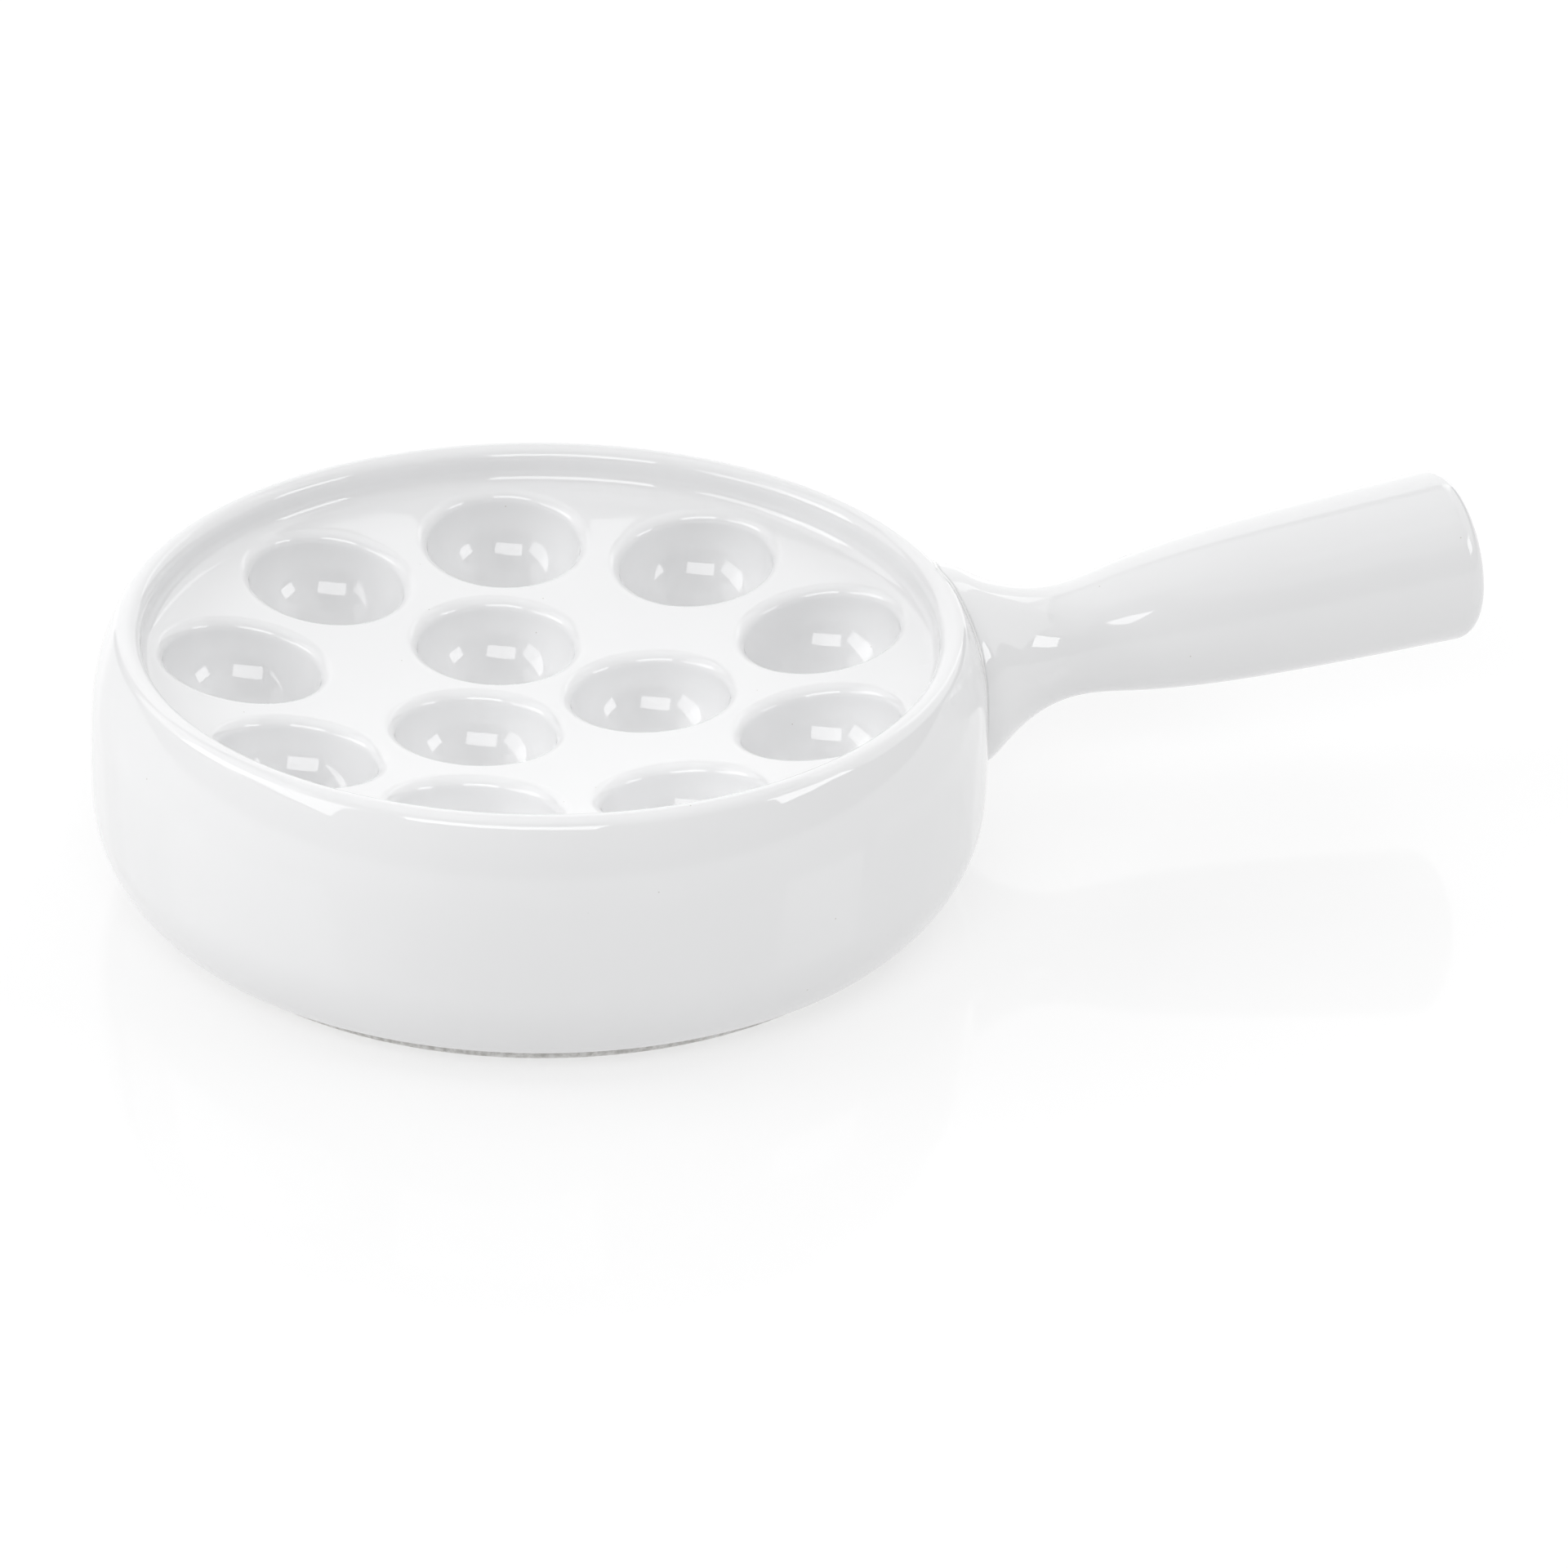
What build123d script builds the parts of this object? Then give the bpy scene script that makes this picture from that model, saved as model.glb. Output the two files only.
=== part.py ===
"""A round snail pan of glazed porcelain: a dished plate with twelve wells inside a low wall, on a bare foot ring,
with one hollow handle luted to the wall.

The frame stands on the foot: Z is the pan's own axis, z = 0 is the plane of the foot, and X points along the handle.
"""
from build123d import *
from math import asin, cos, degrees, hypot, sqrt
import os

# Pan body, in millimetres and degrees
PAN_HEIGHT = 50.0
RIM_CREST_RADIUS = 73.3
RIM_BEAD_RADIUS = 2.6
# tangent arcs over the rim and down the outside to the heel: radius and turn of each
OUTSIDE_ARCS = ((RIM_BEAD_RADIUS, 152.0), (34.85, 24.44), (200.0, 4.56), (20.0, 46.0))
RIM_INSIDE_RADIUS = RIM_CREST_RADIUS - RIM_BEAD_RADIUS
INSIDE_FILLET = 3.2
HOLLOW_RADIUS = 75.0
HOLLOW_TOP_FILLET = 5.0
HOLLOW_HEEL_FILLET = 10.0
HEEL_THICKNESS = 1.2

# Foot ring
FOOT_OUTER_RADIUS = 68.6
FOOT_INNER_RADIUS = 63.6
FOOT_EDGE_FILLET = 0.8

# Dished plate: its upper face is part of a sphere
DISH_RADIUS = 330.0
DISH_LOW = 35.7
DISH_CENTRE = DISH_LOW + DISH_RADIUS
PLATE_THICKNESS = 5.0

# Wells: each one is a cup whose axis runs through the centre of the dish sphere
CUP_RADIUS = 16.6
BOWL_RADIUS = 14.25
BOWL_CENTRE_DEPTH = 0.55
LIP_ROLL = 2.3
ENVELOPE_RISE = 4.0
# ring radius, number of wells, angle of the first well from the handle
WELL_RINGS = ((52.9, 9, 1.5), (19.5, 3, 98.5))

# Handle: a body of revolution about an axis that climbs away from the pan
HANDLE_RISE = 6.0
HANDLE_AXIS_HEIGHT = 22.0
HANDLE_WALL = 4.0
ROOT_START = 74.0
ROOT_END = 80.0
ROOT_RADIUS = 18.7
# distance from the pan's axis and radius of the handle: root flare, neck and grip
ROOT_FLARE = ((84.5, 16.0), (91.0, 12.4))
NECK = (100.0, 10.5)
GRIP = ((111.0, 11.9), (138.0, 14.7))
HANDLE_LENGTH = 178.5
HANDLE_END_RADIUS = 16.1
HANDLE_END_FILLET = 4.0
ROOT_SLOPE = (1.0, -0.35)
END_SLOPE = (1.0, 0.03)

# Slip that fills the joint between the handle and the wall
SEAM_HEIGHT = 0.5
SEAM_WIDTH = 0.7


def dish_height(radius, below=0.0):
    """Height of the dish sphere, or of the sphere that lies below it, at a distance from the pan's axis."""
    return DISH_CENTRE - sqrt((DISH_RADIUS + below) ** 2 - radius**2)


def spin(*edges):
    """The solid that a closed outline of radius and height makes when it turns about the Z axis."""
    return revolve(Plane.XZ * make_face(edges), Axis.Z)


def outside_arcs(grow=0.0):
    """The outside of the pan as tangent arcs, from the inside of the rim over its crest and down to the heel."""
    start = (RIM_INSIDE_RADIUS - grow, PAN_HEIGHT - RIM_BEAD_RADIUS)
    heading = (0, 1)
    arcs = []
    for radius, turn in OUTSIDE_ARCS:
        arc = JernArc(start, heading, radius + grow, -turn)
        arcs.append(arc)
        start = arc @ 1
        heading = arc % 1
    return arcs


def pan_envelope(grow=0.0):
    """The pan's outer shape as if it were filled, made larger all over by grow."""
    arcs = outside_arcs(grow)
    rim = arcs[0] @ 0
    heel = arcs[-1] @ 1
    return spin(*arcs, Polyline((heel.X, heel.Y), (0, heel.Y), (0, rim.Y), (rim.X, rim.Y)))


def inside_fillet():
    """Where the round between the wall and the dish leaves the wall, its middle and where it meets the dish."""
    centre_radius = RIM_INSIDE_RADIUS - INSIDE_FILLET
    drop = sqrt((DISH_RADIUS - INSIDE_FILLET) ** 2 - centre_radius**2)
    centre_height = DISH_CENTRE - drop
    reach = DISH_RADIUS / (DISH_RADIUS - INSIDE_FILLET)
    wall_point = (RIM_INSIDE_RADIUS, centre_height)
    dish_point = (centre_radius * reach, DISH_CENTRE - drop * reach)
    middle_x = (wall_point[0] + dish_point[0]) / 2 - centre_radius
    middle_y = (wall_point[1] + dish_point[1]) / 2 - centre_height
    stretch = INSIDE_FILLET / hypot(middle_x, middle_y)
    middle = (centre_radius + middle_x * stretch, centre_height + middle_y * stretch)
    return wall_point, middle, dish_point


def ringed(make):
    """Call make with the place of every well, one ring after the other."""
    placed = []
    for ring_radius, count, first in WELL_RINGS:
        tilt = degrees(asin(ring_radius / DISH_RADIUS))
        for step in range(count):
            turn = first + step * 360 / count
            place = Pos(0, 0, DISH_CENTRE) * Rot(0, 0, turn) * Rot(0, -tilt, 0) * Pos(0, 0, -DISH_RADIUS)
            placed.append(make(place))
    return placed


def sphere_rise(radius):
    """Height of the dish sphere over a well's centre point, at a distance from the well's axis."""
    return DISH_RADIUS - sqrt(DISH_RADIUS**2 - radius**2)


def bowl(radius, lean=0.0):
    """The arc from the lowest point of a cup up to its side, where it leans outwards by an angle."""
    return CenterArc((0, -BOWL_CENTRE_DEPTH), radius, -90, 90 - lean)


def well_envelope():
    """The outer shape of one cup as if it were filled and stood a little above the plate."""
    outer = bowl(CUP_RADIUS)
    bottom = outer @ 0
    return spin(outer, Polyline(bottom, (0, ENVELOPE_RISE), (CUP_RADIUS, ENVELOPE_RISE), outer @ 1))


def well_cup():
    """One cup: a rolled lip level with the plate, which runs straight into a round bowl."""
    rim_height = sphere_rise(CUP_RADIUS)
    reach = BOWL_RADIUS + LIP_ROLL
    lean = asin((LIP_ROLL - rim_height - BOWL_CENTRE_DEPTH) / reach)
    lip = CenterArc((reach * cos(lean), rim_height - LIP_ROLL), LIP_ROLL, 90, 90 - degrees(lean))
    inner = bowl(BOWL_RADIUS, degrees(lean))
    outer = bowl(CUP_RADIUS)
    rim = Polyline(outer @ 1, (CUP_RADIUS, rim_height), lip @ 0)
    return spin(lip, inner, outer, rim, Line(outer @ 0, inner @ 0))


def pan_wall():
    """The convex wall with its rolled rim, the round at the dish and the ledge that carries the plate."""
    arcs = outside_arcs()
    heel = arcs[-1] @ 1
    wall_point, middle, dish_point = inside_fillet()
    ledge = dish_height(dish_point[0], PLATE_THICKNESS)
    side = Line(arcs[0] @ 0, wall_point)
    round_to_dish = ThreePointArc(wall_point, middle, dish_point)
    plate_edge = Line(dish_point, (dish_point[0], ledge))
    heel_floor = heel.Y + HEEL_THICKNESS
    hollow = FilletPolyline(
        (dish_point[0], ledge), (HOLLOW_RADIUS, ledge), (HOLLOW_RADIUS, heel_floor), (FOOT_INNER_RADIUS, heel_floor),
        radius=(HOLLOW_TOP_FILLET, HOLLOW_HEEL_FILLET))
    base = Polyline((FOOT_INNER_RADIUS, heel_floor), (FOOT_INNER_RADIUS, heel.Y), (heel.X, heel.Y))
    return spin(*arcs, side, round_to_dish, plate_edge, hollow, base)


def well_plate():
    """The dished plate as far as the round at the wall, before the wells are cut."""
    edge = inside_fillet()[2][0]
    half = edge / 2
    top = ThreePointArc((0, DISH_LOW), (half, dish_height(half)), (edge, dish_height(edge)))
    under = ThreePointArc(
        (0, DISH_LOW - PLATE_THICKNESS), (half, dish_height(half, PLATE_THICKNESS)),
        (edge, dish_height(edge, PLATE_THICKNESS)))
    return spin(top, under, Line(top @ 0, under @ 0), Line(top @ 1, under @ 1))


def foot_ring():
    """The bare ring that the pan stands on."""
    top = (outside_arcs()[-1] @ 1).Y
    ring = Cylinder(FOOT_OUTER_RADIUS, top) - Cylinder(FOOT_INNER_RADIUS, top)
    ring = Pos(0, 0, top / 2) * ring
    return fillet(ring.edges().filter_by(GeomType.CIRCLE).group_by(Axis.Z)[0], FOOT_EDGE_FILLET)


def handle_body(inset=0.0):
    """The handle as a body of revolution about X, from inside the wall to its free end, shrunk by inset."""
    end = HANDLE_LENGTH - inset
    stations = [(ROOT_END, ROOT_RADIUS), *ROOT_FLARE, NECK, *GRIP, (end, HANDLE_END_RADIUS)]
    points = [(along, radius - inset) for along, radius in stations]
    side = Spline(*points, tangents=(ROOT_SLOPE, END_SLOPE))
    closing = Polyline(
        (end, HANDLE_END_RADIUS - inset), (end, 0), (ROOT_START, 0), (ROOT_START, ROOT_RADIUS - inset),
        (ROOT_END, ROOT_RADIUS - inset))
    body = revolve(make_face((side, closing)), Axis.X)
    rim = body.edges().filter_by(GeomType.CIRCLE).sort_by(Axis.X)[-1]
    return fillet(rim, HANDLE_END_FILLET - inset / 2)


def on_handle_axis(shape):
    """Put a shape made about X onto the axis of the handle."""
    return Pos(0, 0, HANDLE_AXIS_HEIGHT) * Rot(0, -HANDLE_RISE, 0) * shape


def handle():
    """The hollow handle, closed at its free end, cut to the curve of the wall at its root."""
    hollow = on_handle_axis(handle_body(HANDLE_WALL))
    return on_handle_axis(handle_body()) - hollow - pan_envelope()


def luting_seam():
    """The thin line of slip round the root of the handle."""
    reach = ROOT_END + ROOT_RADIUS - ROOT_START
    collar = Pos(ROOT_START + reach / 2, 0, 0) * Rot(0, 90, 0) * Cylinder(ROOT_RADIUS + SEAM_WIDTH, reach)
    skin = pan_envelope(SEAM_HEIGHT) - pan_envelope()
    return (on_handle_axis(collar) & skin) - on_handle_axis(handle_body())


def main():
    os.makedirs("parts", exist_ok=True)
    envelopes = ringed(lambda place: place * well_envelope())
    nodes = {
        "pan_wall": pan_wall() - envelopes,
        "well_plate": well_plate() - envelopes,
        "foot_ring": foot_ring(),
        "handle": handle(),
        "luting_seam": luting_seam(),
    }
    for number, cup in enumerate(ringed(lambda place: place * well_cup()), start=1):
        nodes[f"well_cup_{number:02d}"] = cup
    for name, shape in nodes.items():
        export_step(shape, f"parts/{name}.step")


main()
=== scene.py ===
"""Looks of a glazed porcelain snail pan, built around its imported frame.

The body is one continuous glazed skin, which is divided into a wall, a plate and twelve cups. They share
their normals where they meet. Shapes are worked out in millimetres in the row frame, and written to meshes in
metres.
"""
from math import acos, asin, atan2, cos, degrees, pi, radians, sin, sqrt

import bpy
import numpy as np
from mathutils import Matrix, Vector


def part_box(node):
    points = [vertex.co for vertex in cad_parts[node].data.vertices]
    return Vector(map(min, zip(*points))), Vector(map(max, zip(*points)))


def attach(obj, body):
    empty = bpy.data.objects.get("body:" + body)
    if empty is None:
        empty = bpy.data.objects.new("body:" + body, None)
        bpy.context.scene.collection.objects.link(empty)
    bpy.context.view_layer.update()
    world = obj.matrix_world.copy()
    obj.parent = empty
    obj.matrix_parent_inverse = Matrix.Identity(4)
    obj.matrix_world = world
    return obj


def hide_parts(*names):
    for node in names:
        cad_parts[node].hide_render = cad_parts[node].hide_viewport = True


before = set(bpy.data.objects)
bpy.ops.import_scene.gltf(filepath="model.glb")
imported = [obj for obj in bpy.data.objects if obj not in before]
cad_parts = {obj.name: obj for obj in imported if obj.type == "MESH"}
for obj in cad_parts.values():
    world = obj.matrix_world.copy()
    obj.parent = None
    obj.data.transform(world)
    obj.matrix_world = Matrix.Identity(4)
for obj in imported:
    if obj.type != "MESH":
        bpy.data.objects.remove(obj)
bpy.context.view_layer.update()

MM = 0.001
TINY = 1e-12
# stops a square root just short of the end of a round
NEARLY = 0.999
# points that lie closer together than this are one point, in millimetres
JOIN_GRID = 1e-4


def node_box(node):
    """Lowest and highest corner of a CAD node, in millimetres."""
    low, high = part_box(node)
    return np.array(low) / MM, np.array(high) / MM


# Pan body, in millimetres and degrees
WALL_LOW, WALL_HIGH = node_box("pan_wall")
PAN_HEIGHT = WALL_HIGH[2]
HEEL_HEIGHT = WALL_LOW[2]
RIM_CREST_RADIUS = 73.27
RIM_BEAD_RADIUS = 2.6
# tangent arcs over the rim and down the outside to the bottom of the heel: radius, turn, steps
OUTSIDE_ARCS = (
    (RIM_BEAD_RADIUS, 152.0, 24), (34.85, 24.44, 14), (200.0, 4.56, 12), (20.0, 43.4, 14), (2.0, 45.6, 6))
RIM_INSIDE_RADIUS = RIM_CREST_RADIUS - RIM_BEAD_RADIUS
INSIDE_FILLET = 3.2
FILLET_CENTRE_RADIUS = RIM_INSIDE_RADIUS - INSIDE_FILLET
HOLLOW_RADIUS = 75.0
HOLLOW_TOP_FILLET = 5.0
HOLLOW_HEEL_FILLET = 10.0
HEEL_THICKNESS = 1.2
HOLLOW_FLOOR = HEEL_HEIGHT + HEEL_THICKNESS
FILLET_STEPS = 6
HEEL_STEPS = 7
HOLLOW_HEEL_STEPS = 12
HOLLOW_SIDE_STEPS = 8
HOLLOW_TOP_STEPS = 8

# Foot ring
FOOT_OUTER_RADIUS = node_box("foot_ring")[1][1]
FOOT_WIDTH = 5.0
FOOT_INNER_RADIUS = FOOT_OUTER_RADIUS - FOOT_WIDTH
FOOT_SIDE_SHARES = (1.0, 0.75, 0.5)
FOOT_EDGE = 1.1
FOOT_EDGE_STEPS = 6
FOOT_FACE_POINTS = 5
FOOT_ROUND = 480

# Dished plate: its upper face is part of a sphere
DISH_RADIUS = 330.0
DISH_LOW = 35.7
DISH_CENTRE = DISH_LOW + DISH_RADIUS
PLATE_THICKNESS = 5.0
UNDER_RADIUS = DISH_RADIUS + PLATE_THICKNESS
FILLET_CENTRE_HEIGHT = DISH_CENTRE - sqrt((DISH_RADIUS - INSIDE_FILLET) ** 2 - FILLET_CENTRE_RADIUS**2)
DISH_EDGE = FILLET_CENTRE_RADIUS * DISH_RADIUS / (DISH_RADIUS - INSIDE_FILLET)
LEDGE = DISH_CENTRE - sqrt(UNDER_RADIUS**2 - DISH_EDGE**2)
# radii at which the plate's patches hand over to the wall, above and below
PLATE_EDGE = 69.9
UNDER_EDGE = 71.1
SLIDE_STEPS = 60

# Wells: each one is a cup whose axis runs through the centre of the dish sphere
CUP_RADIUS = 16.6
BOWL_RADIUS = 14.25
BOWL_CENTRE_DEPTH = 0.55
LIP_ROLL = 2.3
UNDER_FILLET_REACH = 18.3
UNDER_FILLET_CLEARANCE = 0.15
# ring radius and number of wells
WELL_RINGS = ((52.9, 9), (19.5, 3))
OUTER_COUNT = WELL_RINGS[0][1]
HALF_STEP = pi / OUTER_COUNT
# spacing of points along a cell's straight edges, and number of them on its share of the plate's edge
EDGE_STEP = 1.2
ARC_STEPS = 40
# how far each row of points between a cell's outline and its lip has come
PLATE_GRADES = (0.0, 0.04, 0.09, 0.15, 0.23, 0.34, 0.48, 0.64, 0.82, 1.0)
LIP_STEPS = 12
BOWL_STEPS = 26
UNDER_FILLET_STEPS = 6
UNDER_BOWL_STEPS = 16

# Handle
HANDLE_RISE = radians(6.0)
HANDLE_AXIS_HEIGHT = 22.0
# distance along the axis and radius
HANDLE_STATIONS = (
    (80.0, 18.7), (84.5, 16.0), (91.0, 12.4), (100.0, 10.5), (111.0, 11.9), (138.0, 14.7), (174.0, 15.97))
HANDLE_SLOPES = (-0.35, 0.03)
HANDLE_LENGTH = 178.5
HANDLE_END_EDGE = 4.0
HANDLE_END_DOME = 0.7
HANDLE_ROUND = 128
# distances along the axis between which every line meets the wall
ROOT_LIMITS = (60.0, 95.0)
ROOT_SEARCH_STEPS = 50
# rows over the face that meets the wall, as shares of the radius
ROOT_SHARES = (0.25, 0.5, 0.75, 0.9)
FLARE_END = 92.0
FLARE_STEPS = 14
GRIP_STEPS = 61
END_STEPS = 12
DOME_SHARES = (0.93, 0.84, 0.72, 0.58, 0.42, 0.26, 0.12)

# Slip line at the root of the handle
SEAM_RADIUS = 0.34
SEAM_ROUND = 10


def circle(angle):
    """Points of a circle of radius one."""
    return np.stack([np.cos(angle), np.sin(angle)], -1)


def sphere_rise(radius):
    """Height of the dish over a well's centre point, at a distance from the well's axis."""
    return DISH_RADIUS - sqrt(DISH_RADIUS**2 - radius**2)


# The lip's roll is tangent to the bowl, where the bowl leans outwards by a small angle
LIP_LEAN = asin((LIP_ROLL - sphere_rise(CUP_RADIUS) - BOWL_CENTRE_DEPTH) / (BOWL_RADIUS + LIP_ROLL))
LIP_RADIUS = (BOWL_RADIUS + LIP_ROLL) * cos(LIP_LEAN)
LIP_TURN = pi / 2 - LIP_LEAN
LIP_FOOT = sphere_rise(BOWL_RADIUS * cos(LIP_LEAN)) - LIP_ROLL * (1 - cos(LIP_TURN))
LIP_LIFT = -BOWL_CENTRE_DEPTH - BOWL_RADIUS * sin(LIP_LEAN) - LIP_FOOT


# ---------------------------------------------------------------- surfaces of the body

def top_height(r):
    """Height of the glazed inside at a distance from the pan's axis: the dish, then the round at the wall."""
    dish = DISH_CENTRE - np.sqrt(DISH_RADIUS**2 - r**2)
    across = np.clip(r - FILLET_CENTRE_RADIUS, 0, NEARLY * INSIDE_FILLET)
    return np.where(r < DISH_EDGE, dish, FILLET_CENTRE_HEIGHT - np.sqrt(INSIDE_FILLET**2 - across**2))


def under_height(r):
    """Height of the underside at a distance from the pan's axis: the dish, then the ledge and its round."""
    dish = DISH_CENTRE - np.sqrt(UNDER_RADIUS**2 - r**2)
    centre = HOLLOW_RADIUS - HOLLOW_TOP_FILLET
    across = np.clip(r - centre, 0, NEARLY * HOLLOW_TOP_FILLET)
    corner = LEDGE - HOLLOW_TOP_FILLET + np.sqrt(HOLLOW_TOP_FILLET**2 - across**2)
    return np.where(r < DISH_EDGE, dish, corner)


def slide(points, direction, height):
    """Moves points along a direction until they lie on a surface of revolution."""
    points = np.array(points, float)
    for _ in range(SLIDE_STEPS):
        gap = points[:, 2] - height(np.hypot(points[:, 0], points[:, 1]))
        points = points - direction * (gap / np.broadcast_to(direction, points.shape)[:, 2])[:, None]
    return points


def from_chart(chart, height):
    """The points of a surface that are seen from the centre of the dish through points of a flat chart."""
    direction = np.column_stack([chart, np.full(len(chart), -DISH_RADIUS)])
    direction /= np.linalg.norm(direction, axis=1)[:, None]
    start = np.array([0, 0, DISH_CENTRE]) + DISH_RADIUS * direction
    return slide(start, direction, height)


def chart_radius(radius, height):
    """Distance from the middle of the chart that shows a distance from the pan's axis."""
    return radius * DISH_RADIUS / (DISH_CENTRE - height(np.array([radius]))[0])


CHART_EDGE = chart_radius(PLATE_EDGE, top_height)
UNDER_SCALE = chart_radius(UNDER_EDGE, under_height) / CHART_EDGE


class Well:
    """The place of one cup: its centre on the dish and three unit vectors, the last one along its axis."""

    def __init__(self, azimuth, ring):
        tilt = asin(ring / DISH_RADIUS)
        out = np.array([cos(azimuth), sin(azimuth), 0])
        self.azimuth = azimuth
        self.axis = -sin(tilt) * out + np.array([0, 0, cos(tilt)])
        self.across = cos(tilt) * out + np.array([0, 0, sin(tilt)])
        self.along = np.cross(self.axis, self.across)
        self.centre = np.array([0, 0, DISH_CENTRE]) - DISH_RADIUS * self.axis

    def polar(self, points):
        """Distance from the axis and angle round it of each point."""
        arm = points - self.centre
        across, along = arm @ self.across, arm @ self.along
        return np.hypot(across, along), np.arctan2(along, across)

    def points(self, reach, angle, rise=0.0):
        """Points at a distance from the axis, an angle round it and a height above the centre."""
        reach, rise = np.broadcast_to(reach, angle.shape), np.broadcast_to(rise, angle.shape)
        turned = np.outer(reach * np.cos(angle), self.across) + np.outer(reach * np.sin(angle), self.along)
        return self.centre + turned + np.outer(rise, self.axis)

    def on(self, height, reach, angle):
        """Points of a surface of revolution at a distance and an angle."""
        return slide(self.points(reach, angle), self.axis[None, :], height)

    def rise(self, points):
        """Height of each point above the centre, along the axis."""
        return (points - self.centre) @ self.axis

    def bottom(self, radius):
        """The lowest point of a bowl round the axis, as a row of one point."""
        return (self.centre - (BOWL_CENTRE_DEPTH + radius) * self.axis)[None, :]


def find_wells():
    """The wells in the order of the CAD's cups, with the outer ring evenly spaced from its first cup."""
    wells = []
    for ring, count in WELL_RINGS:
        for _ in range(count):
            low, high = node_box(f"well_cup_{len(wells) + 1:02d}")
            middle = (low + high) / 2
            wells.append(Well(atan2(middle[1], middle[0]), ring))
    first = radians(round(degrees(wells[0].azimuth), 1))
    step = 2 * pi / OUTER_COUNT
    wells[:OUTER_COUNT] = [Well(first + k * step, WELL_RINGS[0][0]) for k in range(OUTER_COUNT)]
    return wells


# smallest distance between a polygon's corners, how near to the plate's edge counts as on it, in millimetres,
# and what keeps corners that lie on a cutting line
CLIP_GAP = 1e-6
EDGE_GAP = 1e-3
CLIP_SLACK = 1e-9


def clip(polygon, normal, offset):
    """The part of a convex polygon where normal . point + offset is not negative."""
    kept = []
    for k, here in enumerate(polygon):
        after = polygon[(k + 1) % len(polygon)]
        a, b = here @ normal + offset, after @ normal + offset
        if a >= 0:
            kept.append(here)
        if (a < 0) != (b < 0):
            kept.append(here + (after - here) * a / (a - b))
    return [point for k, point in enumerate(kept) if np.linalg.norm(point - kept[k - 1]) > CLIP_GAP]


def cell_outline(wells, number):
    """The chart points round one well that are as near to a neighbour, or lie on the edge of the plate."""
    turns = wells[0].azimuth + HALF_STEP * (1 + 2 * np.arange(OUTER_COUNT))
    polygon = list(CHART_EDGE * circle(turns))
    for other, well in enumerate(wells):
        if other != number:
            apart = well.axis - wells[number].axis
            polygon = clip(polygon, apart[:2], CLIP_SLACK - DISH_RADIUS * apart[2])
    outline = []
    for k, here in enumerate(polygon):
        after = polygon[(k + 1) % len(polygon)]
        if min(np.linalg.norm(here), np.linalg.norm(after)) > CHART_EDGE - EDGE_GAP:
            start = atan2(here[1], here[0])
            turn = (atan2(after[1], after[0]) - start) % (2 * pi)
            outline.append(CHART_EDGE * circle(start + turn * np.arange(ARC_STEPS) / ARC_STEPS))
        else:
            steps = max(1, round(np.linalg.norm(after - here) / EDGE_STEP))
            outline.append(here + np.outer(np.arange(steps) / steps, after - here))
    return np.concatenate(outline)


# ---------------------------------------------------------------- meshes

class Skin:
    """The glazed body as blocks of faces, each of which belongs to a piece."""

    def __init__(self):
        self.points, self.blocks = [], []
        self.count = 0

    def ring(self, points):
        """Adds a row of points and returns their numbers."""
        self.points.append(np.asarray(points, float))
        self.count += len(points)
        return np.arange(self.count - len(points), self.count)

    def band(self, before, after, owner, hidden=False):
        """Joins two closed rows of points that run the same way, with after to the left of before.

        A hidden band closes a piece where it meets its neighbour, and takes no part in the shared normals.
        """
        faces = np.stack([before, np.roll(before, -1), np.roll(after, -1), after], 1)
        self.blocks.append((faces, owner, hidden))

    def bands(self, rings, owner):
        """Joins rows of points one after the other."""
        for before, after in zip(rings, rings[1:]):
            self.band(before, after, owner)

    def fan(self, ring, pole, owner):
        """Closes a row of points with triangles to one point."""
        faces = np.stack([ring, np.roll(ring, -1), np.full(len(ring), pole)], 1)
        self.blocks.append((faces, owner, False))

    def join(self):
        """Keeps one of each set of points that coincide."""
        points = np.concatenate(self.points)
        cells = np.round(points / JOIN_GRID).astype(np.int64)
        _, first, where = np.unique(cells, axis=0, return_index=True, return_inverse=True)
        where = where.reshape(-1)
        self.blocks = [(where[faces], owner, hidden) for faces, owner, hidden in self.blocks]
        return points[first]


def face_normals(corners):
    """Unit normals of faces given as an array of their corners."""
    normals = np.cross(corners, np.roll(corners, -1, 1)).sum(1)
    return normals / (np.linalg.norm(normals, axis=1)[:, None] + TINY)


def corner_angles(corners):
    """The angle of a face at each of its corners."""
    ahead = np.roll(corners, -1, 1) - corners
    back = np.roll(corners, 1, 1) - corners
    lengths = np.linalg.norm(ahead, axis=2) * np.linalg.norm(back, axis=2)
    return np.arccos(np.clip((ahead * back).sum(2) / (lengths + TINY), -1, 1))


def skin_normals(points, blocks):
    """Normals of the joined skin, weighted by the angle of each face's corner."""
    normals = np.zeros_like(points)
    for faces, _, hidden in blocks:
        if not hidden:
            corners = points[faces]
            np.add.at(normals, faces, corner_angles(corners)[:, :, None] * face_normals(corners)[:, None, :])
    return normals / (np.linalg.norm(normals, axis=1)[:, None] + TINY)


def new_object(name, points, faces, material):
    """A smooth mesh object in metres from points in millimetres."""
    mesh = bpy.data.meshes.new(name)
    mesh.from_pydata((np.asarray(points) * MM).tolist(), [], [list(face) for face in faces])
    mesh.materials.append(material)
    mesh.shade_smooth()
    made = bpy.data.objects.new(name, mesh)
    bpy.context.scene.collection.objects.link(made)
    return made


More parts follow.
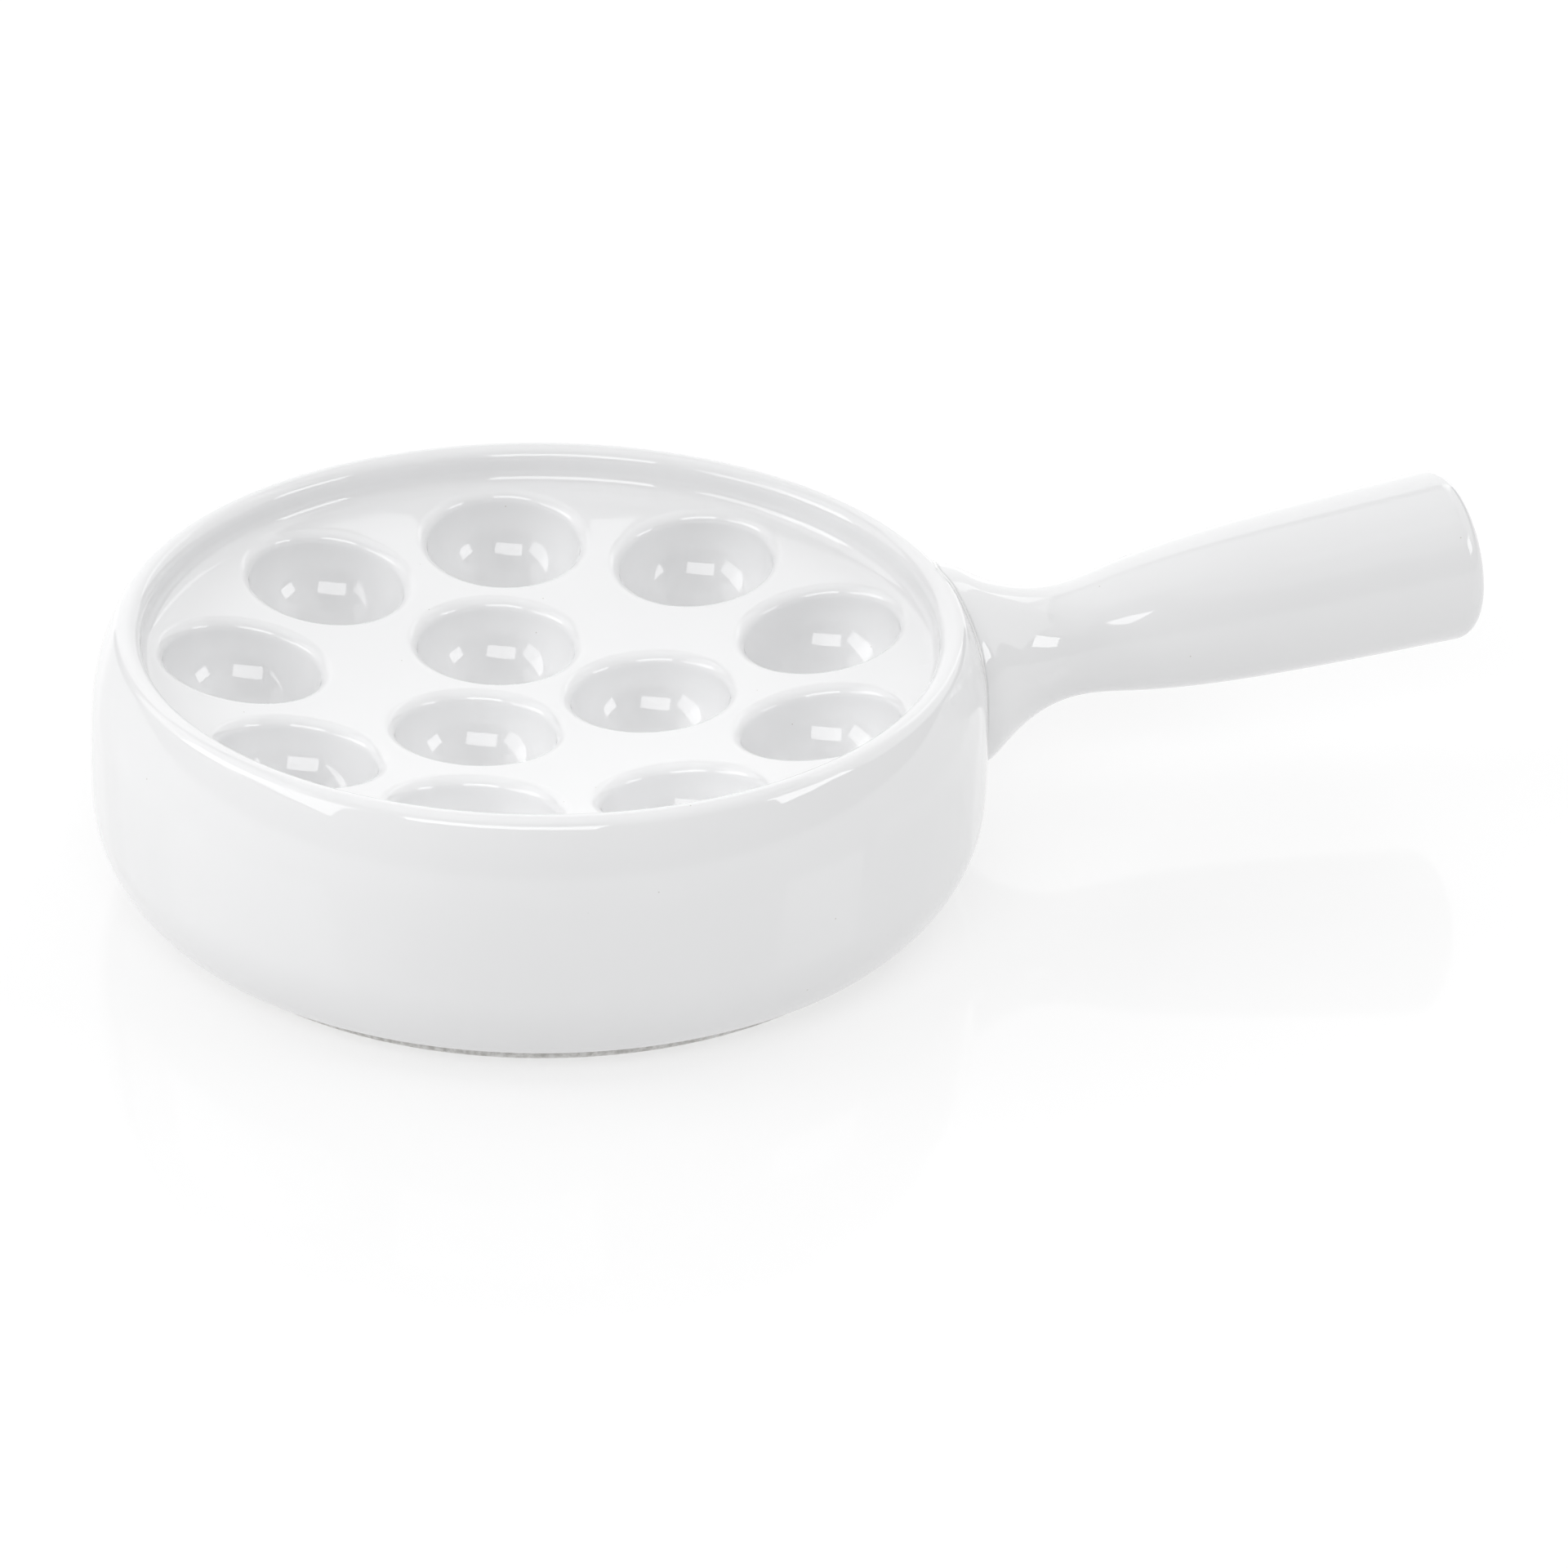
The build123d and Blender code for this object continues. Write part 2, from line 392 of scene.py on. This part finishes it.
def cell_above(skin, well, outline, cup):
    """The plate round one well, then its lip and bowl. Returns the row of points where the lip begins."""
    edge = from_chart(outline, top_height)
    reach, angle = well.polar(edge)
    plate = [skin.ring(edge)]
    for grade in PLATE_GRADES[1:]:
        plate.append(skin.ring(well.on(top_height, reach + grade * (LIP_RADIUS - reach), angle)))
    skin.bands(plate, "plate")

    rows = [plate[-1]]
    for share in np.linspace(0, 1, LIP_STEPS + 1)[1:]:
        turn = share * LIP_TURN
        surface = well.on(top_height, LIP_RADIUS - LIP_ROLL * sin(turn), angle)
        drop = LIP_ROLL * (1 - cos(turn)) - LIP_LIFT * share**2
        rows.append(skin.ring(surface - drop * well.axis))
    for turn in np.linspace(LIP_LEAN, pi / 2, BOWL_STEPS + 1)[1:-1]:
        depth = BOWL_CENTRE_DEPTH + BOWL_RADIUS * sin(turn)
        rows.append(skin.ring(well.points(BOWL_RADIUS * cos(turn), angle, -depth)))
    skin.bands(rows, cup)
    skin.fan(rows[-1], skin.ring(well.bottom(BOWL_RADIUS))[0], cup)
    return plate[-1]


def cell_below(skin, well, outline, cup):
    """The underside round one well, its fillet and the cup. Returns the row where the fillet begins."""
    edge = from_chart(outline * UNDER_SCALE, under_height)
    reach, angle = well.polar(edge)
    root = np.minimum(reach - UNDER_FILLET_CLEARANCE, UNDER_FILLET_REACH)
    plate = [skin.ring(edge)]
    for grade in PLATE_GRADES[1:]:
        plate.append(skin.ring(well.on(under_height, reach + grade * (root - reach), angle)))
    skin.bands([row[::-1] for row in plate], "plate")

    level = well.rise(well.on(under_height, root, angle))
    drop = -level - BOWL_CENTRE_DEPTH
    bend = (root**2 - CUP_RADIUS**2 + drop**2) / (2 * (CUP_RADIUS - drop))
    sweep = np.arctan2(root, drop + bend)
    rows = [plate[-1]]
    for share in np.linspace(0, 1, UNDER_FILLET_STEPS + 1)[1:]:
        turn = share * sweep
        rise = level - bend + bend * np.cos(turn)
        rows.append(skin.ring(well.points(root - bend * np.sin(turn), angle, rise)))
    for share in np.linspace(0, 1, UNDER_BOWL_STEPS + 1)[1:-1]:
        turn = pi / 2 - sweep + share * sweep
        rise = -BOWL_CENTRE_DEPTH - CUP_RADIUS * np.sin(turn)
        rows.append(skin.ring(well.points(CUP_RADIUS * np.cos(turn), angle, rise)))
    skin.bands([row[::-1] for row in rows], cup)
    skin.fan(rows[-1][::-1], skin.ring(well.bottom(CUP_RADIUS))[0], cup)
    return plate[-1]


def body_cells(skin, wells):
    """The plate and the cups, cell by cell, with a hidden band through the plate round each cup."""
    for number, well in enumerate(wells):
        cup = f"cup_{number + 1:02d}"
        outline = cell_outline(wells, number)
        above = cell_above(skin, well, outline, cup)
        below = cell_below(skin, well, outline, cup)
        skin.band(below, above, cup, hidden=True)
        skin.band(above, below, "plate", hidden=True)


def arc(centre, radius, start, end, steps):
    """Points of an arc in the plane of radius and height, without its first one. Angles are in radians."""
    angles = np.linspace(start, end, steps + 1)[1:]
    return np.array(centre) + radius * circle(angles)


def outside_line():
    """The wall from the inside of the rim over its crest and down to the bottom of the heel."""
    at = np.array([RIM_INSIDE_RADIUS, PAN_HEIGHT - RIM_BEAD_RADIUS])
    heading = pi / 2
    line = [at[None, :]]
    for radius, turn, steps in OUTSIDE_ARCS:
        centre = at + radius * np.array([sin(heading), -cos(heading)])
        line.append(arc(centre, radius, heading + pi / 2, heading + pi / 2 - radians(turn), steps))
        heading -= radians(turn)
        at = line[-1][-1]
    return np.concatenate(line)


def wall_line():
    """The wall's outline of radius and height, from the edge of the plate over the rim and back below."""
    start = asin((PLATE_EDGE - FILLET_CENTRE_RADIUS) / INSIDE_FILLET) - pi / 2
    inside = arc((FILLET_CENTRE_RADIUS, FILLET_CENTRE_HEIGHT), INSIDE_FILLET, start, 0, FILLET_STEPS)
    outside = outside_line()
    heel = outside[-1]
    base = [(radius, heel[1]) for radius in np.linspace(heel[0], FOOT_INNER_RADIUS, HEEL_STEPS)[1:]]
    base.append((FOOT_INNER_RADIUS, HOLLOW_FLOOR))
    base.append((HOLLOW_RADIUS - HOLLOW_HEEL_FILLET, HOLLOW_FLOOR))
    heel_centre = (HOLLOW_RADIUS - HOLLOW_HEEL_FILLET, HOLLOW_FLOOR + HOLLOW_HEEL_FILLET)
    heel_round = arc(heel_centre, HOLLOW_HEEL_FILLET, -pi / 2, 0, HOLLOW_HEEL_STEPS)
    shoulder = LEDGE - HOLLOW_TOP_FILLET
    heights = np.linspace(heel_round[-1][1], shoulder, HOLLOW_SIDE_STEPS)[1:]
    side = [(HOLLOW_RADIUS, height) for height in heights]
    stop = acos((UNDER_EDGE - HOLLOW_RADIUS + HOLLOW_TOP_FILLET) / HOLLOW_TOP_FILLET)
    ledge = arc((HOLLOW_RADIUS - HOLLOW_TOP_FILLET, shoulder), HOLLOW_TOP_FILLET, 0, stop, HOLLOW_TOP_STEPS)
    return np.concatenate([inside, outside, base, heel_round, side, ledge[:-1]])


def body_wall(skin, wells):
    """The wall, turned about the pan's axis, with the same angles as the edge of the plate."""
    count = OUTER_COUNT * ARC_STEPS
    angles = wells[0].azimuth + HALF_STEP + 2 * pi * np.arange(count) / count
    top = skin.ring(from_chart(CHART_EDGE * circle(angles), top_height))
    under = skin.ring(from_chart(UNDER_SCALE * CHART_EDGE * circle(angles), under_height))
    rings = [top]
    for radius, height in wall_line():
        rings.append(skin.ring(np.column_stack([radius * circle(angles), np.full(len(angles), height)])))
    rings.append(under)
    skin.bands([ring[::-1] for ring in rings], "wall")
    skin.band(under[::-1], top[::-1], "wall", hidden=True)
    skin.band(top[::-1], under[::-1], "plate", hidden=True)


BODY_NODES = {"wall": "pan_wall", "plate": "well_plate"}


def make_body(material):
    """Cuts the glazed skin into its pieces. Their normals come from the whole skin, so no joint shows."""
    wells = find_wells()
    skin = Skin()
    body_cells(skin, wells)
    body_wall(skin, wells)
    points = skin.join()
    normals = skin_normals(points, skin.blocks)
    for piece in dict.fromkeys(owner for _, owner, _ in skin.blocks):
        own = [(faces, hidden) for faces, owner, hidden in skin.blocks if owner == piece]
        used = np.unique(np.concatenate([faces.ravel() for faces, _ in own]))
        place = np.zeros(len(points), int)
        place[used] = np.arange(len(used))
        made_faces = [face for faces, _ in own for face in place[faces].tolist()]
        made = new_object(f"glazed_{piece}", points[used], made_faces, material)
        corner_normals = []
        for faces, hidden in own:
            flat = np.repeat(face_normals(points[faces]), faces.shape[1], 0)
            corner_normals.append(flat if hidden else normals[faces.ravel()])
        made.data.normals_split_custom_set(np.concatenate(corner_normals).tolist())
        finish_piece(made, BODY_NODES.get(piece) or piece.replace("cup", "well_cup"))


def finish_piece(piece, node):
    """Puts a piece on the root body in place of its CAD node."""
    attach(piece, "root")
    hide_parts(node)


def joined_faces(count, before, after):
    """The quads between two closed rows of points, given the number of the first point of each."""
    return [(before + i, after + i, after + (i + 1) % count, before + (i + 1) % count) for i in range(count)]


def hoop(name, rings, material, turned=False):
    """A closed hoop from rows of points, the last of which joins the first. Turned flips its faces."""
    count = len(rings[0])
    faces = []
    for k in range(len(rings)):
        before, after = k * count, (k + 1) % len(rings) * count
        for a, b, c, d in joined_faces(count, before, after):
            faces.append((a, d, c, b) if turned else (a, b, c, d))
    return new_object(name, np.concatenate(rings), faces, material)


def capped_tube(name, rings, first_middle, last_middle, material):
    """A tube from rows of points, closed at each end by triangles to a middle point."""
    count = len(rings[0])
    faces = []
    for k in range(len(rings) - 1):
        faces += joined_faces(count, k * count, (k + 1) * count)
    total = len(rings) * count
    last = total - count
    faces += [(i, (i + 1) % count, total) for i in range(count)]
    faces += [(last + (i + 1) % count, last + i, total + 1) for i in range(count)]
    points = np.concatenate([*rings, [first_middle, last_middle]])
    return new_object(name, points, faces, material)


# ---------------------------------------------------------------- handle

def spline(stations, slopes, at):
    """A smooth curve through the stations with given slopes at its two ends."""
    x, y = np.array(stations).T
    gap, rise = np.diff(x), np.diff(y)
    count = len(x)
    system, right = np.zeros((count, count)), np.zeros(count)
    system[0, 0] = system[-1, -1] = 1
    right[0], right[-1] = slopes
    for k in range(1, count - 1):
        system[k, k - 1:k + 2] = 1 / gap[k - 1], 2 / gap[k - 1] + 2 / gap[k], 1 / gap[k]
        right[k] = 3 * (rise[k - 1] / gap[k - 1] ** 2 + rise[k] / gap[k] ** 2)
    slope = np.linalg.solve(system, right)
    k = np.clip(np.searchsorted(x, at) - 1, 0, count - 2)
    t = (at - x[k]) / gap[k]
    return ((2 * t**3 - 3 * t**2 + 1) * y[k] + (t**3 - 2 * t**2 + t) * gap[k] * slope[k]
            + (3 * t**2 - 2 * t**3) * y[k + 1] + (t**3 - t**2) * gap[k] * slope[k + 1])


def handle_radius(at):
    """Radius of the handle at a distance along its axis. Before its first station it widens evenly."""
    at = np.asarray(at, float)
    first, radius = HANDLE_STATIONS[0]
    straight = radius + HANDLE_SLOPES[0] * (at - first)
    return np.where(at < first, straight, spline(HANDLE_STATIONS, HANDLE_SLOPES, np.maximum(at, first)))


def on_handle(along, radius, turn):
    """Points at a distance along the handle's axis, a distance from it and an angle round it."""
    along, radius, turn = np.broadcast_arrays(np.asarray(along, float), radius, turn)
    side, up = radius * np.sin(turn), radius * np.cos(turn)
    return np.stack([along * cos(HANDLE_RISE) - up * sin(HANDLE_RISE), side,
                     HANDLE_AXIS_HEIGHT + along * sin(HANDLE_RISE) + up * cos(HANDLE_RISE)], -1)


def outside_radius(height):
    """Radius of the pan's outside at a height."""
    line = outside_line()
    below_crest = line[int(np.argmax(line[:, 1])):]
    return np.interp(-height, -below_crest[:, 1], below_crest[:, 0])


def root_place(share, turn):
    """Distance along the handle's axis at which a line round it, at a share of its radius, meets the wall."""
    low, high = [np.full(turn.shape, limit) for limit in ROOT_LIMITS]
    for _ in range(ROOT_SEARCH_STEPS):
        middle = (low + high) / 2
        points = on_handle(middle, share * handle_radius(middle), turn)
        inside = np.hypot(points[:, 0], points[:, 1]) < outside_radius(points[:, 2])
        low, high = np.where(inside, middle, low), np.where(inside, high, middle)
    return (low + high) / 2


def root_rings(root, turn):
    """Rows of points over the face that meets the wall, then out to where the flare ends."""
    rings = []
    for share in ROOT_SHARES:
        place = root_place(share, turn)
        rings.append(on_handle(place, share * handle_radius(place), turn))
    rings.append(on_handle(root, handle_radius(root), turn))
    for share in np.linspace(0, 1, FLARE_STEPS + 1)[1:]:
        place = root + share * (FLARE_END - root)
        rings.append(on_handle(place, handle_radius(place), turn))
    return rings


def end_rings(turn):
    """Rows of points over the rounded edge of the handle's end and its slightly domed face."""
    last = HANDLE_STATIONS[-1][0]
    edge_radius = handle_radius(last) - HANDLE_END_EDGE
    face = HANDLE_LENGTH - HANDLE_END_DOME
    rings = []
    for angle in np.linspace(0, pi / 2, END_STEPS + 1)[1:]:
        along = last + (face - last) * sin(angle)
        rings.append(on_handle(along, edge_radius + HANDLE_END_EDGE * cos(angle), turn))
    for share in DOME_SHARES:
        rings.append(on_handle(face + HANDLE_END_DOME * (1 - share**2), share * edge_radius, turn))
    return rings


def make_handle(material):
    """The handle. Returns where it meets the wall, for the slip line."""
    turn = 2 * pi * np.arange(HANDLE_ROUND) / HANDLE_ROUND
    root = root_place(1.0, turn)
    rings = root_rings(root, turn)
    for place in np.linspace(FLARE_END, HANDLE_STATIONS[-1][0], GRIP_STEPS + 1)[1:]:
        rings.append(on_handle(place, handle_radius(place), turn))
    rings += end_rings(turn)
    root_middle = on_handle(root_place(0.0, np.array([0.0])), 0.0, 0.0)[0]
    end_middle = on_handle(HANDLE_LENGTH, 0.0, 0.0)
    made = capped_tube("glazed_handle", rings, root_middle, end_middle, material)
    finish_piece(made, "handle")
    return root, turn


def make_seam(material, root, turn):
    """The fine line of slip that fills the corner between the handle and the wall."""
    middle = on_handle(root, handle_radius(root), turn)
    ahead = np.roll(middle, -1, 0) - np.roll(middle, 1, 0)
    ahead /= np.linalg.norm(ahead, axis=1)[:, None]
    out = middle * np.array([1, 1, 0])
    out /= np.linalg.norm(out, axis=1)[:, None]
    side = np.cross(ahead, out)
    side /= np.linalg.norm(side, axis=1)[:, None]
    out = np.cross(side, ahead)
    rings = []
    for angle in 2 * pi * np.arange(SEAM_ROUND) / SEAM_ROUND:
        rings.append(middle + SEAM_RADIUS * (cos(angle) * side + sin(angle) * out))
    finish_piece(hoop("slip_seam", rings, material, turned=True), "luting_seam")


# ---------------------------------------------------------------- foot ring

def foot_line():
    """The ring's closed outline of radius and height, down its outer side and up its inner one."""
    outer, inner, top = FOOT_OUTER_RADIUS, FOOT_INNER_RADIUS, HEEL_HEIGHT
    flat = np.linspace(outer - FOOT_EDGE, inner + FOOT_EDGE, FOOT_FACE_POINTS)[1:-1]
    line = [(outer, top * share) for share in FOOT_SIDE_SHARES]
    line += list(arc((outer - FOOT_EDGE, FOOT_EDGE), FOOT_EDGE, 0, -pi / 2, FOOT_EDGE_STEPS))
    line += [(radius, 0) for radius in flat]
    line += list(arc((inner + FOOT_EDGE, FOOT_EDGE), FOOT_EDGE, -pi / 2, -pi, FOOT_EDGE_STEPS))
    line += [(inner, top * share) for share in reversed(FOOT_SIDE_SHARES)]
    return line + [(radius, top) for radius in np.linspace(inner, outer, FOOT_FACE_POINTS)[1:-1]]


def make_foot(material):
    """The bare ring, with softened edges."""
    angles = 2 * pi * np.arange(FOOT_ROUND) / FOOT_ROUND
    rings = []
    for radius, height in foot_line():
        rings.append(np.column_stack([radius * circle(angles), np.full(len(angles), height)]))
    finish_piece(hoop("bare_foot_ring", rings, material), "foot_ring")


# ---------------------------------------------------------------- materials

def new_material(name):
    """A new material with its nodes, links and shader."""
    made = bpy.data.materials.new(name)
    made.use_nodes = True
    return made, made.node_tree.nodes, made.node_tree.links, made.node_tree.nodes["Principled BSDF"]


def noise_node(nodes, links, place, scale, detail):
    """Noise over the object's own coordinates. Returns its value."""
    noise = nodes.new("ShaderNodeTexNoise")
    noise.inputs["Scale"].default_value = scale
    noise.inputs["Detail"].default_value = detail
    links.new(place, noise.inputs["Vector"])
    return noise.outputs["Fac"]


def tone_node(nodes, links, value, low, high):
    """A colour ramp between two stops of position and colour."""
    ramp = nodes.new("ShaderNodeValToRGB")
    for element, (position, colour) in zip(ramp.color_ramp.elements, (low, high)):
        element.position = position
        element.color = (*colour, 1)
    links.new(value, ramp.inputs["Fac"])
    return ramp.outputs["Color"]


def below(nodes, links, value, limit):
    """One where the value is below the limit, nought elsewhere."""
    test = nodes.new("ShaderNodeMath")
    test.operation = "LESS_THAN"
    test.inputs[1].default_value = limit
    links.new(value, test.inputs[0])
    return test.outputs[0]


def bump_node(nodes, links, height, shader, strength, distance):
    """Raises the shader's surface by a height value. The distance is in metres."""
    bump = nodes.new("ShaderNodeBump")
    bump.inputs["Strength"].default_value = strength
    bump.inputs["Distance"].default_value = distance
    links.new(height, bump.inputs["Height"])
    links.new(bump.outputs["Normal"], shader.inputs["Normal"])


# colours, and what clouds and specks take from them
WHITE_BODY = (0.775, 0.777, 0.783)
SLIP_BODY = (0.8, 0.8, 0.8)
CLOUD_SHADE = 0.985
SPECK_SHADE = (0.74, 0.72, 0.68)
# cells in a metre, radius of a speck in a cell, and the share of cells that have one
SPECK_SCALE = 420
SPECK_RADIUS = 0.06
SPECK_SHARE = 0.06


def glaze_material(name, body):
    """White porcelain under clear glaze: faint clouding, a very slight ripple and sparse fine specks."""
    made, nodes, links, shader = new_material(name)
    shader.inputs["Roughness"].default_value = 0.02
    shader.inputs["IOR"].default_value = 1.5
    place = nodes.new("ShaderNodeTexCoord").outputs["Object"]

    cloud = noise_node(nodes, links, place, scale=28, detail=2)
    shaded = [CLOUD_SHADE * part for part in body]
    tone = tone_node(nodes, links, cloud, (0.35, shaded), (0.65, body))

    speck = nodes.new("ShaderNodeTexVoronoi")
    speck.inputs["Scale"].default_value = SPECK_SCALE
    links.new(place, speck.inputs["Vector"])
    near = below(nodes, links, speck.outputs["Distance"], SPECK_RADIUS)
    chance = nodes.new("ShaderNodeSeparateColor")
    links.new(speck.outputs["Color"], chance.inputs["Color"])
    few = below(nodes, links, chance.outputs["Red"], SPECK_SHARE)
    both = nodes.new("ShaderNodeMath")
    both.operation = "MULTIPLY"
    links.new(near, both.inputs[0])
    links.new(few, both.inputs[1])
    mix = nodes.new("ShaderNodeMix")
    mix.data_type = "RGBA"
    mix.inputs["B"].default_value = (*(part * shade for part, shade in zip(body, SPECK_SHADE)), 1)
    links.new(both.outputs[0], mix.inputs["Factor"])
    links.new(tone, mix.inputs["A"])
    links.new(mix.outputs["Result"], shader.inputs["Base Color"])

    ripple = noise_node(nodes, links, place, scale=75, detail=1.5)
    bump_node(nodes, links, ripple, shader, strength=0.03, distance=0.001)
    return made


def bare_material():
    """Unglazed fired porcelain: rough, a little darker and grainy."""
    made, nodes, links, shader = new_material("bare_porcelain")
    shader.inputs["Roughness"].default_value = 0.85
    shader.inputs["IOR"].default_value = 1.45
    place = nodes.new("ShaderNodeTexCoord").outputs["Object"]
    grain = noise_node(nodes, links, place, scale=900, detail=4)
    tone = tone_node(nodes, links, grain, (0.35, (0.55, 0.54, 0.52)), (0.62, (0.78, 0.775, 0.76)))
    links.new(tone, shader.inputs["Base Color"])
    bump_node(nodes, links, grain, shader, strength=0.6, distance=0.0003)
    return made


# ---------------------------------------------------------------- studio

# World light
WORLD = 0.26

# Camera, in metres and degrees. The lens and its sensor are in millimetres.
CAMERA_AIM = (0.0386, -0.0222, 0.0227)
CAMERA_DISTANCE = 1.061
CAMERA_AZIMUTH = -18.75
CAMERA_ELEVATION = 28.18
CAMERA_ROLL = 1.53
LENS = 137.07
SENSOR_WIDTH = 36.0
CLIP_START = 0.05

# Floor: half its side in millimetres, its grey and its own light
FLOOR_HALF = 6000.0
FLOOR_GREY = 0.35
FLOOR_GLOW = 0.58

# Lights: name, azimuth, elevation, distance, width, height, radiance, in metres and degrees
LIGHT_AIM = (0, 0, 0.03)
LIGHTS = (
    ("softbox_front", -26, 38.5, 0.9, 0.7, 0.29, 4.4),
    ("softbox_left", -93, 27, 1.0, 0.9, 0.34, 3.1),
    ("softbox_right", 57, 24, 1.0, 0.4, 0.24, 4.8),
    ("fill_left", -120, 35, 1.6, 1.4, 1.2, 1.1),
    ("fill_right", 104, 35, 1.6, 1.8, 1.2, 1.0),
    ("fill_side", 38, 50, 1.6, 1.1, 0.9, 0.45),
    ("panel_back", 165, 20, 1.6, 2.0, 1.5, 1.05),
    ("softbox_top", 150, 80, 1.6, 1.6, 1.6, 0.6),
)


def direction(azimuth, elevation):
    """Unit vector towards a light or the camera: azimuth 0 is the -Y side, and it grows towards +X."""
    azimuth, elevation = radians(azimuth), radians(elevation)
    return Vector((sin(azimuth) * cos(elevation), -cos(azimuth) * cos(elevation), sin(elevation)))


def aimed(back, roll, place):
    """Matrix of an object at a place that looks away from the back direction, with a roll in degrees."""
    right = Vector((0, 0, 1)).cross(back).normalized()
    up = back.cross(right)
    roll = radians(roll)
    axes = (cos(roll) * right + sin(roll) * up, cos(roll) * up - sin(roll) * right, back)
    turned = Matrix(axes).transposed().to_4x4()
    turned.translation = place
    return turned


def make_camera():
    """The camera, above the pan and a little to its left."""
    data = bpy.data.cameras.new("camera")
    data.lens = LENS
    data.sensor_width = SENSOR_WIDTH
    data.clip_start = CLIP_START
    data.dof.use_dof = False
    camera = bpy.data.objects.new("camera", data)
    bpy.context.scene.collection.objects.link(camera)
    back = direction(CAMERA_AZIMUTH, CAMERA_ELEVATION)
    camera.matrix_world = aimed(back, CAMERA_ROLL, Vector(CAMERA_AIM) + CAMERA_DISTANCE * back)
    bpy.context.scene.camera = camera


def make_light(name, azimuth, elevation, distance, width, height, radiance):
    """A softbox that faces the object. Radiance is what its face shows."""
    data = bpy.data.lights.new(name, "AREA")
    data.shape = "RECTANGLE"
    data.size, data.size_y = width, height
    data.energy = radiance * pi * width * height
    light = bpy.data.objects.new(name, data)
    bpy.context.scene.collection.objects.link(light)
    back = direction(azimuth, elevation)
    light.matrix_world = aimed(back, 0, Vector(LIGHT_AIM) + distance * back)


def make_studio():
    """Soft light from all round and a plain pale floor that mirrors a little."""
    for light in LIGHTS:
        make_light(*light)
    world = bpy.data.worlds.new("studio")
    world.use_nodes = True
    world.node_tree.nodes["Background"].inputs["Color"].default_value = (1, 1, 1, 1)
    world.node_tree.nodes["Background"].inputs["Strength"].default_value = WORLD
    bpy.context.scene.world = world
    bpy.context.scene.view_settings.view_transform = "Standard"

    made, _, _, shader = new_material("studio_floor")
    shader.inputs["Base Color"].default_value = (FLOOR_GREY, FLOOR_GREY, FLOOR_GREY, 1)
    shader.inputs["Roughness"].default_value = 0.05
    shader.inputs["IOR"].default_value = 1.28
    shader.inputs["Emission Color"].default_value = (1, 1, 1, 1)
    shader.inputs["Emission Strength"].default_value = FLOOR_GLOW
    low, high = -FLOOR_HALF, FLOOR_HALF
    corners = [(low, low, 0), (high, low, 0), (high, high, 0), (low, high, 0)]
    new_object("studio_floor", corners, [(0, 1, 2, 3)], made)


glaze = glaze_material("white_glaze", WHITE_BODY)
make_body(glaze)
root, turn = make_handle(glaze)
make_seam(glaze_material("slip_glaze", SLIP_BODY), root, turn)
make_foot(bare_material())
make_studio()
make_camera()
